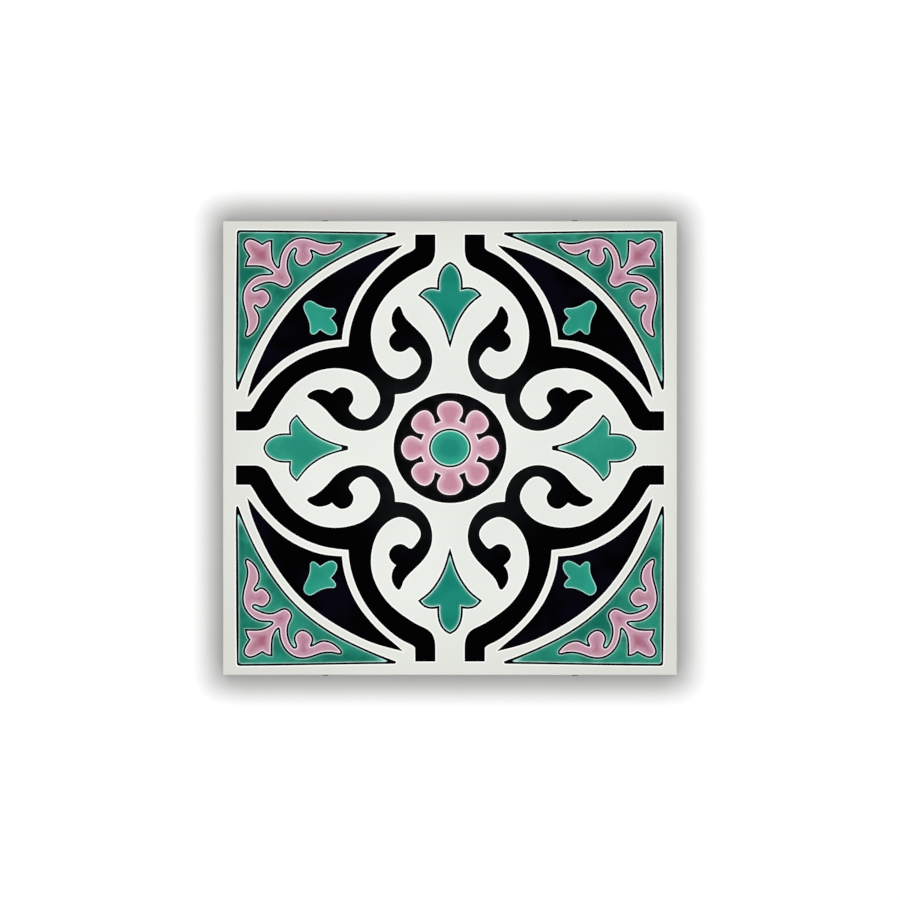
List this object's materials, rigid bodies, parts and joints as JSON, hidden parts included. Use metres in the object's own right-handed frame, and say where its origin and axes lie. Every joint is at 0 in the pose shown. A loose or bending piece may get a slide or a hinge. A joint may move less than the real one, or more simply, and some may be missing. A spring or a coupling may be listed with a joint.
{
  "type": "ceramic floor tile",
  "caption": "Square glazed ceramic tile with softened top edges, a ribbed back and small spacer lugs, laid on floors or walls as a finished surface.",
  "frame": {"origin": "centre of the back, on the plane of its ribs", "axes": "+Z out of the glazed face; the spacer lugs stand on the +Y and -Y edges, and the back grooves run along Y"},
  "size_m": [0.2, 0.201, 0.01],
  "materials": {
    "glazed_clay": "gloss glaze in off-white, black, green and pink on the face, bare buff clay on the back"
  },
  "bodies": {
    "root": {"ceramic_tile": "glazed_clay"}
  },
  "joints": []
}
